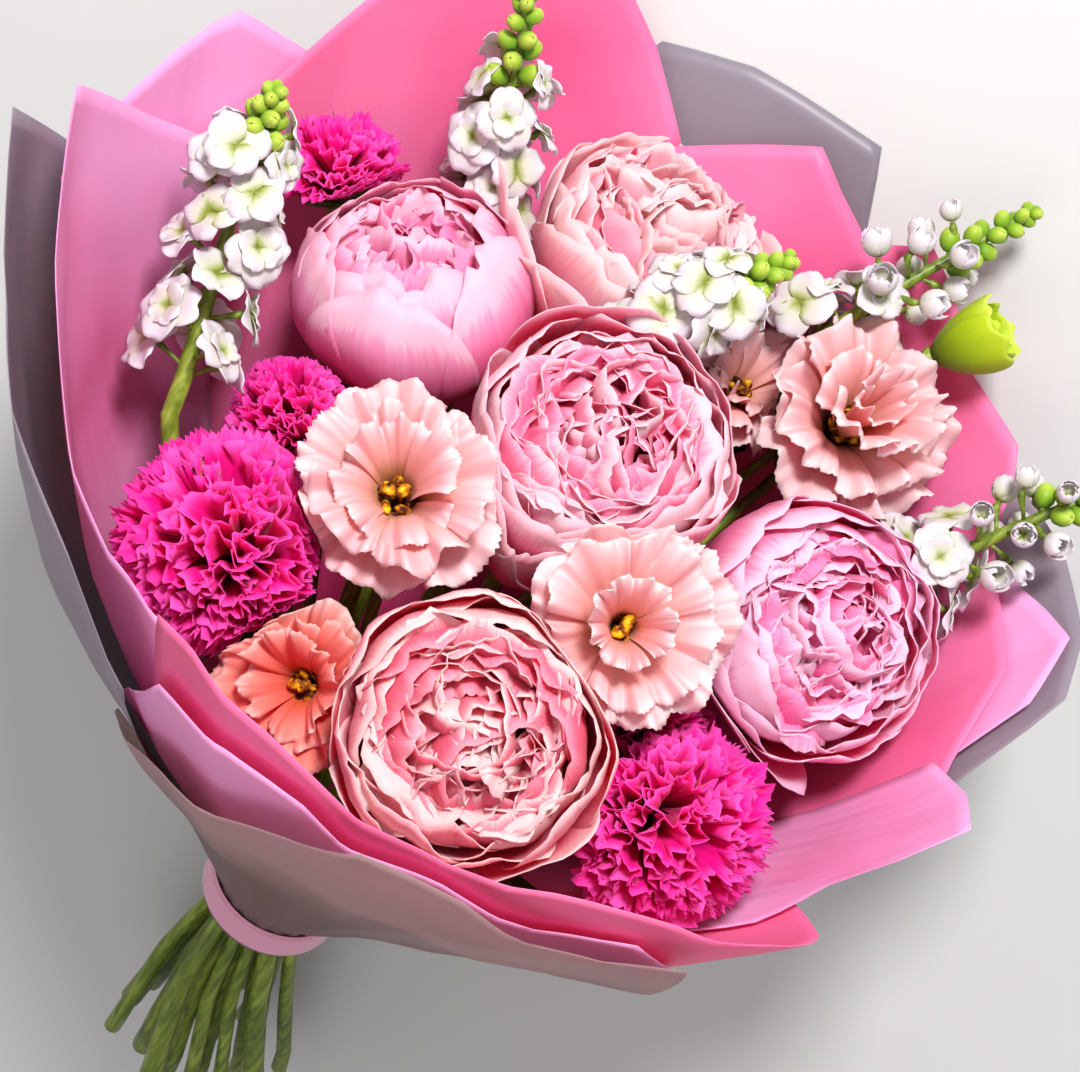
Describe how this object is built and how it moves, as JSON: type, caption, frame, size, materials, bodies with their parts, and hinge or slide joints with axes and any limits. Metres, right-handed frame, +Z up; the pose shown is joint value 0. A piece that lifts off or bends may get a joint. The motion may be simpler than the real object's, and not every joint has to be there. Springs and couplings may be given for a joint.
{
  "type": "mixed flower bouquet",
  "caption": "Hand-tied bouquet of peonies, lisianthus, carnations and stock in layered paper and frosted film, tied at the waist, lying on its back sheet.",
  "frame": {"origin": "on the table, under the middle of the whole lying bouquet's box", "axes": "+Z up from the table, -Y toward the flower heads, +Y toward the cut stems, +X to the side that the picture shows at the left"},
  "size_m": [0.4584, 0.641, 0.3738],
  "materials": {
    "peony_petal": "soft satin petal",
    "lisianthus_petal": "soft matte petal",
    "carnation_petal": "matte petal",
    "lime_petal": "satin petal",
    "stock_floret": "matte petal",
    "stem": "waxy green stem and leaf",
    "paper": "smooth coated paper",
    "film": "frosted film",
    "tie": "satin ribbon"
  },
  "bodies": {
    "root": {"peony_1_petals": "peony_petal", "peony_2_petals": "peony_petal", "peony_3_petals": "peony_petal", "peony_4_petals": "peony_petal", "peony_5_petals": "peony_petal", "peony_1_stem": "stem", "peony_2_stem": "stem", "peony_3_stem": "stem", "peony_4_stem": "stem", "peony_5_stem": "stem", "lisianthus_1_petals": "lisianthus_petal", "lisianthus_2_petals": "lisianthus_petal", "lisianthus_3_petals": "lisianthus_petal", "lisianthus_4_petals": "lisianthus_petal", "lisianthus_5_petals": "lisianthus_petal", "lisianthus_1_stem": "stem", "lisianthus_2_stem": "stem", "lisianthus_3_stem": "stem", "lisianthus_4_stem": "stem", "lisianthus_5_stem": "stem", "carnation_1_petals": "carnation_petal", "carnation_2_petals": "carnation_petal", "carnation_3_petals": "carnation_petal", "carnation_4_petals": "carnation_petal", "carnation_5_petals": "carnation_petal", "carnation_1_stem": "stem", "carnation_2_stem": "stem", "carnation_3_stem": "stem", "carnation_4_stem": "stem", "carnation_5_stem": "stem", "lime_bud_petals": "lime_petal", "lime_bud_stem": "stem", "stock_1": "stock_floret", "stock_2": "stock_floret", "stock_3": "stock_floret", "stock_4": "stock_floret", "stock_5": "stock_floret", "paper_left": "paper", "paper_top": "paper", "paper_front": "paper", "paper_back": "paper", "paper_right": "paper", "paper_corner": "paper", "paper_rear_left": "paper", "paper_outer_front": "paper", "paper_outer_right": "paper", "film_left": "film", "film_right": "film", "film_front": "film", "film_back": "film", "tie_band": "tie"}
  },
  "joints": []
}
